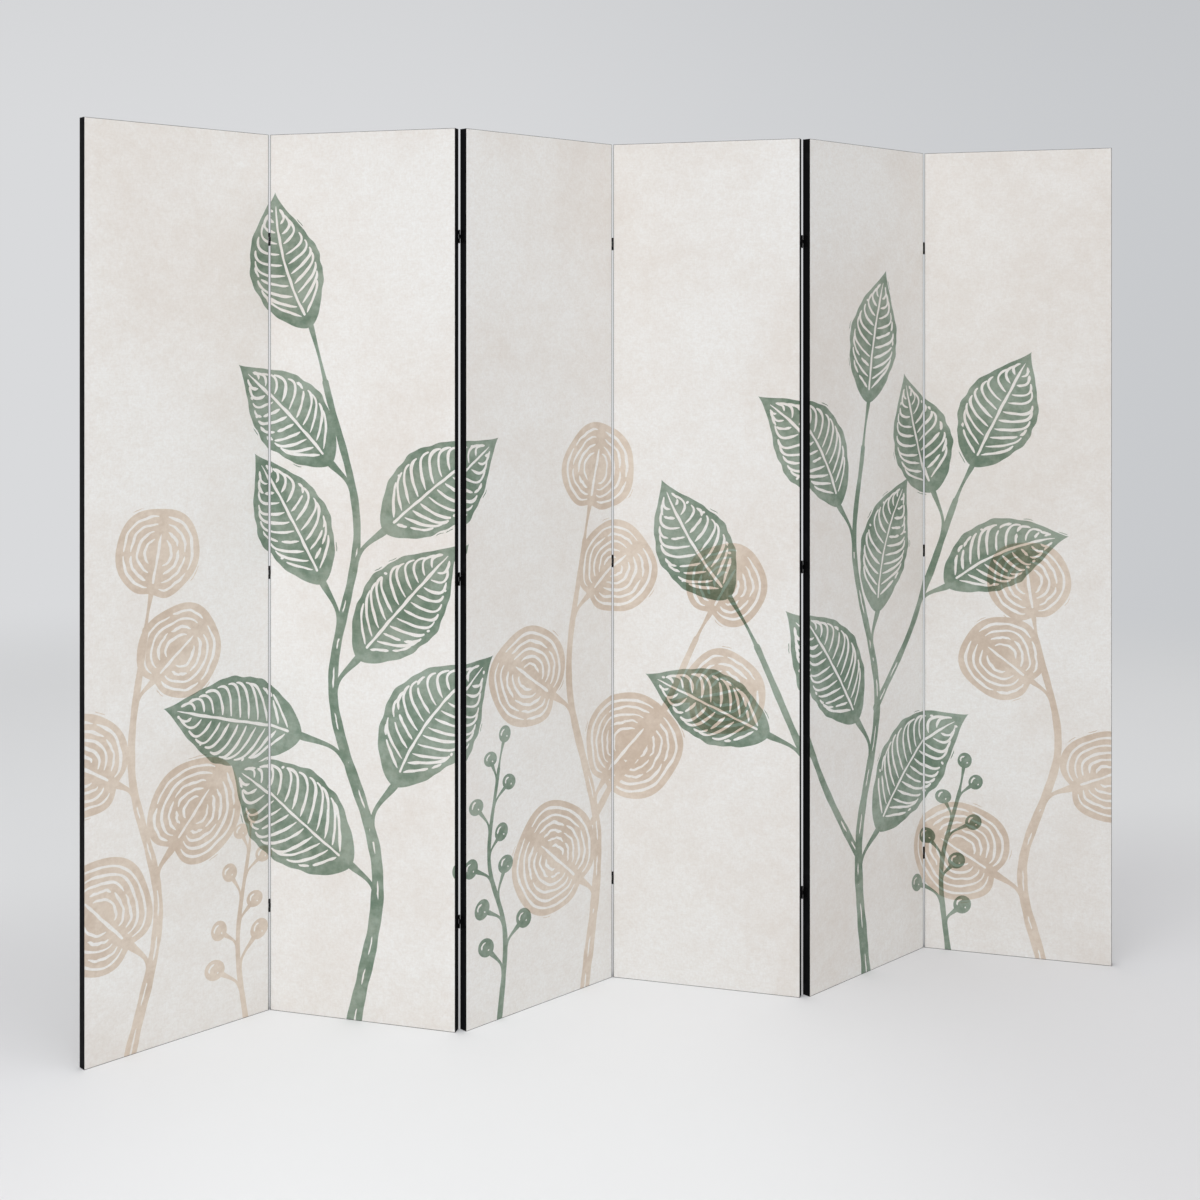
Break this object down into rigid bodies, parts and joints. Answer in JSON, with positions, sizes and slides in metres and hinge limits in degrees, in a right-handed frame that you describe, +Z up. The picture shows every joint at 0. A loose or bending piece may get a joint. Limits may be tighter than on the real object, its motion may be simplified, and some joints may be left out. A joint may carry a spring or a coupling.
{
  "type": "folding screen",
  "caption": "Free-standing folding screen: printed canvas panels on timber frames, black edge strips, joined in a zigzag by small butt hinges.",
  "frame": {"origin": "on the floor, under the middle of the zigzag row as it stands with its panels 30 degrees out of line", "axes": "+X along the row, to the right as seen from the printed side; +Y from the printed faces to the plain backs; +Z up"},
  "size_m": [2.06, 0.2066, 1.7],
  "materials": {
    "pine": "planed, unfinished",
    "printed_canvas": "matt woven canvas with a sage green and beige plant print",
    "plain_canvas": "matt woven canvas, unprinted",
    "edge_strip": "matt black",
    "hinge_metal": "satin black",
    "pin_metal": "satin black",
    "screw_metal": "blackened"
  },
  "bodies": {
    "panel_1": {"panel_1_left_stile": "pine", "panel_1_right_stile": "pine", "panel_1_rails": "pine", "panel_1_front_canvas": "printed_canvas", "panel_1_back_canvas": "plain_canvas", "panel_1_edge_strips": "edge_strip", "panel_1_hinge_screws": "screw_metal", "fold_1_2_left_leaves": "hinge_metal", "fold_1_2_pins": "pin_metal"},
    "panel_2": {"panel_2_left_stile": "pine", "panel_2_right_stile": "pine", "panel_2_rails": "pine", "panel_2_front_canvas": "printed_canvas", "panel_2_back_canvas": "plain_canvas", "panel_2_edge_strips": "edge_strip", "panel_2_hinge_screws": "screw_metal", "fold_2_3_left_leaves": "hinge_metal", "fold_2_3_pins": "pin_metal", "fold_1_2_right_leaves": "hinge_metal"},
    "panel_3": {"panel_3_left_stile": "pine", "panel_3_right_stile": "pine", "panel_3_rails": "pine", "panel_3_front_canvas": "printed_canvas", "panel_3_back_canvas": "plain_canvas", "panel_3_edge_strips": "edge_strip", "panel_3_hinge_screws": "screw_metal", "fold_3_4_left_leaves": "hinge_metal", "fold_3_4_pins": "pin_metal", "fold_2_3_right_leaves": "hinge_metal"},
    "panel_4": {"panel_4_left_stile": "pine", "panel_4_right_stile": "pine", "panel_4_rails": "pine", "panel_4_front_canvas": "printed_canvas", "panel_4_back_canvas": "plain_canvas", "panel_4_edge_strips": "edge_strip", "panel_4_hinge_screws": "screw_metal", "fold_4_5_left_leaves": "hinge_metal", "fold_4_5_pins": "pin_metal", "fold_3_4_right_leaves": "hinge_metal"},
    "panel_5": {"panel_5_left_stile": "pine", "panel_5_right_stile": "pine", "panel_5_rails": "pine", "panel_5_front_canvas": "printed_canvas", "panel_5_back_canvas": "plain_canvas", "panel_5_edge_strips": "edge_strip", "panel_5_hinge_screws": "screw_metal", "fold_5_6_left_leaves": "hinge_metal", "fold_5_6_pins": "pin_metal", "fold_4_5_right_leaves": "hinge_metal"},
    "panel_6": {"panel_6_left_stile": "pine", "panel_6_right_stile": "pine", "panel_6_rails": "pine", "panel_6_front_canvas": "printed_canvas", "panel_6_back_canvas": "plain_canvas", "panel_6_edge_strips": "edge_strip", "panel_6_hinge_screws": "screw_metal", "fold_5_6_right_leaves": "hinge_metal"}
  },
  "joints": [
    {"name": "fold_1_2", "type": "hinge", "parent": "panel_2", "child": "panel_1", "pos_m": [-0.68786, 0.08855, 0.85], "axis": [0, 0, 1], "range_deg": [-60, 120]},
    {"name": "fold_2_3", "type": "hinge", "parent": "panel_3", "child": "panel_2", "pos_m": [-0.34393, -0.08855, 0.85], "axis": [0, 0, -1], "range_deg": [-60, 120]},
    {"name": "fold_3_4", "type": "hinge", "parent": "panel_3", "child": "panel_4", "pos_m": [0, 0.08855, 0.85], "axis": [0, 0, -1], "range_deg": [-60, 120]},
    {"name": "fold_4_5", "type": "hinge", "parent": "panel_4", "child": "panel_5", "pos_m": [0.34393, -0.08855, 0.85], "axis": [0, 0, 1], "range_deg": [-60, 120]},
    {"name": "fold_5_6", "type": "hinge", "parent": "panel_5", "child": "panel_6", "pos_m": [0.68786, 0.08855, 0.85], "axis": [0, 0, -1], "range_deg": [-60, 120]}
  ]
}
